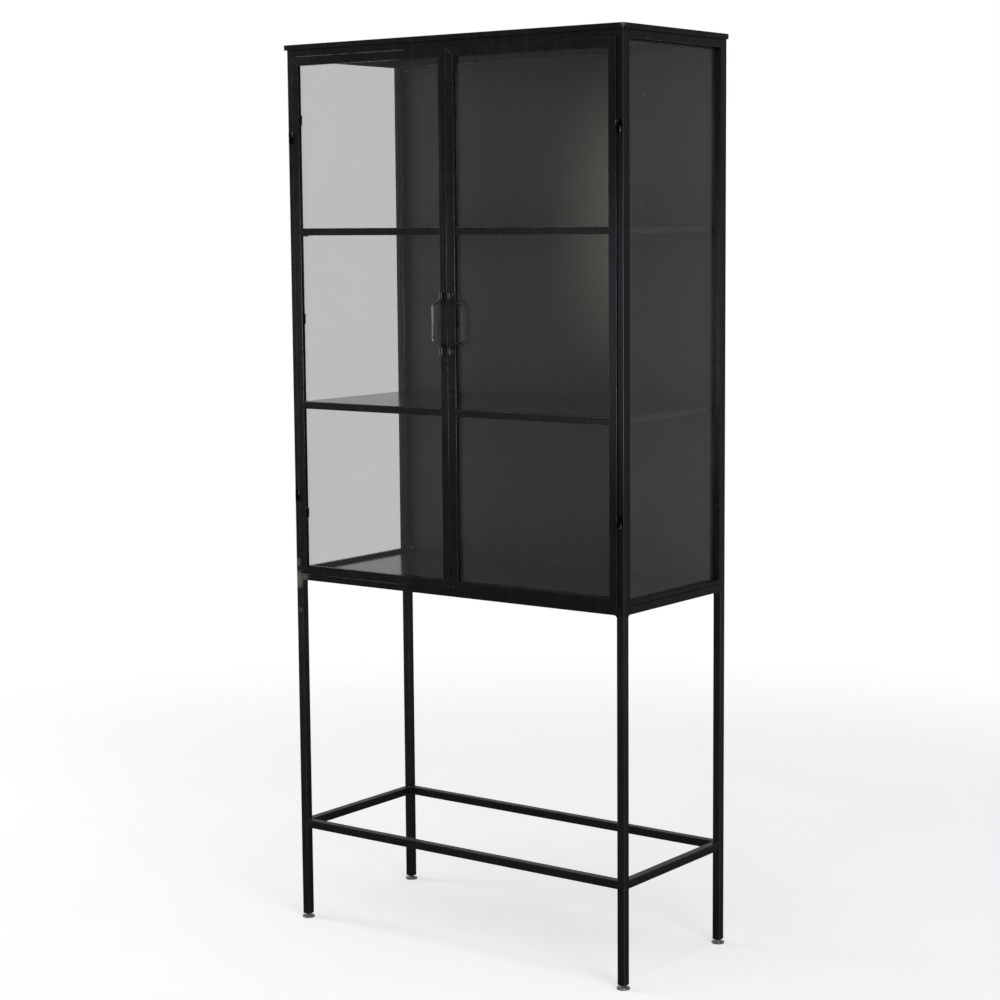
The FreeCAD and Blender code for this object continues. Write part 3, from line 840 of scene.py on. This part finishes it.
def backdrop_share(t):
    """1 toward the bright backdrop behind the case, fading to 0 beside and above it."""
    toward = t.add("VectorMath", operation="DOT_PRODUCT")
    toward.inputs[1].default_value = BACKDROP_TOWARD
    t.link(t.place, toward.inputs[0])
    beside = t.fit(toward.outputs["Value"], 0.40, 0.82, smooth=True)
    above = t.fit(t.coordinate("Z"), 0.15, 0.34, 1.0, 0.0, smooth=True)
    return t.math("MULTIPLY", beside, above)


def window_share(t):
    """1 at the middle of the soft window, fading to 0 at its rim."""
    turned = t.add("Mapping", vector_type="TEXTURE")
    turned.inputs["Location"].default_value = (-math.sin(WINDOW_BEARING), -math.cos(WINDOW_BEARING), 0)
    turned.inputs["Rotation"].default_value = (0, 0, -WINDOW_BEARING)
    turned.inputs["Scale"].default_value = (WINDOW_WIDTH, 1, WINDOW_HEIGHT)
    t.link(t.place, turned.inputs["Vector"])
    return t.fit(t.length(turned.outputs[0]), 0.0, 1.0, 1.0, 0.0, smooth=True)


def make_world():
    """White to look at; as light, a soft grey room with a brighter backdrop and a small window."""
    world = bpy.data.worlds.new("studio")
    bpy.context.scene.world = world
    t = Tree(world, "OutputWorld", "Generated")
    grey = t.fit(backdrop_share(t), 0.0, 1.0, ROOM_LIGHT, BACKDROP_LIGHT, smooth=True)
    room = t.add("CombineColor")
    for channel in room.inputs:
        t.link(grey, channel)
    light = t.mix(window_share(t), room.outputs[0], WINDOW_LIGHT, blend="ADD")
    seen = t.mix(t.ray("Is Camera Ray"), light, WHITE)
    t.surface(t.shader("Background", Color=seen))


def add_softbox(name, place, width, height, radiance, colour):
    """A rectangular lamp whose face has the given radiance, aimed at the case."""
    lamp = bpy.data.lights.new(name, "AREA")
    lamp.shape = "RECTANGLE"
    lamp.size, lamp.size_y = width, height
    lamp.energy = radiance * math.pi * width * height
    lamp.color = colour
    box = bpy.data.objects.new(name, lamp)
    box.location = place
    box.rotation_euler = (Vector(LAMP_TARGET) - Vector(place)).to_track_quat("-Z", "Y").to_euler()
    bpy.context.scene.collection.objects.link(box)


def make_lights():
    """A softbox at either side and one overhead."""
    add_softbox("right_softbox", (3.4, -1.9, 1.4), 1.5, 2.6, 4.2, LAMP_COOL)
    add_softbox("left_softbox", (-3.6, -1.0, 1.4), 1.2, 2.6, 4.5, LAMP_COOL)
    add_softbox("overhead_softbox", (0, -0.4, 3.4), 2.2, 1.4, 2.2, LAMP_WHITE)


def make_camera():
    """The photograph's viewpoint."""
    camera = bpy.data.objects.new("camera", bpy.data.cameras.new("camera"))
    camera.data.lens = CAMERA_LENS
    camera.data.sensor_width = CAMERA_SENSOR
    turn = (Matrix.Rotation(math.radians(CAMERA_YAW), 4, "Z")
            @ Matrix.Rotation(math.radians(90 - CAMERA_PITCH), 4, "X")
            @ Matrix.Rotation(math.radians(CAMERA_ROLL), 4, "Z"))
    camera.matrix_world = Matrix.Translation(CAMERA_PLACE) @ turn
    bpy.context.scene.collection.objects.link(camera)
    bpy.context.scene.camera = camera
    bpy.context.scene.view_settings.view_transform = "Standard"


dress_nodes()
make_bails()
make_frame_welds()
make_hinge_welds()
make_mitre_seams()
make_tray_seams()
make_tacks()
make_pole_plates()
make_floor()
make_world()
make_lights()
make_camera()
